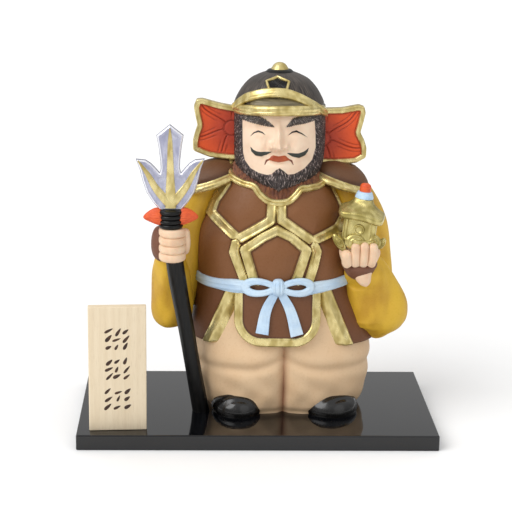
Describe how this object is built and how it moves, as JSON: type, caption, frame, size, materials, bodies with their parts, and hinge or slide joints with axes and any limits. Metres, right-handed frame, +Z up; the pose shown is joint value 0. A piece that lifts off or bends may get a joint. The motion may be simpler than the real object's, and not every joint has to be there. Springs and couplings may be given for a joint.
{
  "type": "lokapala figure",
  "caption": "Painted clay doll of an armoured guardian king with trident and pagoda, on a black lacquered plinth with a wooden name board.",
  "frame": {"origin": "middle of the plinth's underside", "axes": "+Z up, the figure faces -Y, +X towards the figure's left hand with the pagoda"},
  "size_m": [0.225, 0.12, 0.232],
  "materials": {
    "plinth_lacquer": "black high-gloss lacquer on a flat board",
    "painted_clay": "unglazed clay painted in matt colours with brushed gilt bands and glossy black shoes",
    "trident_paint": "streaky black shaft, silver blades with gilt inlays and red tassels",
    "pagoda_gilt": "satin gold paint, with a pale blue ring and a red tip",
    "board_wood": "bare pale wood with strokes of dark brown ink"
  },
  "bodies": {
    "root": {"plinth": "plinth_lacquer", "figure": "painted_clay", "trident": "trident_paint", "pagoda": "pagoda_gilt", "name_board": "board_wood"}
  },
  "joints": []
}
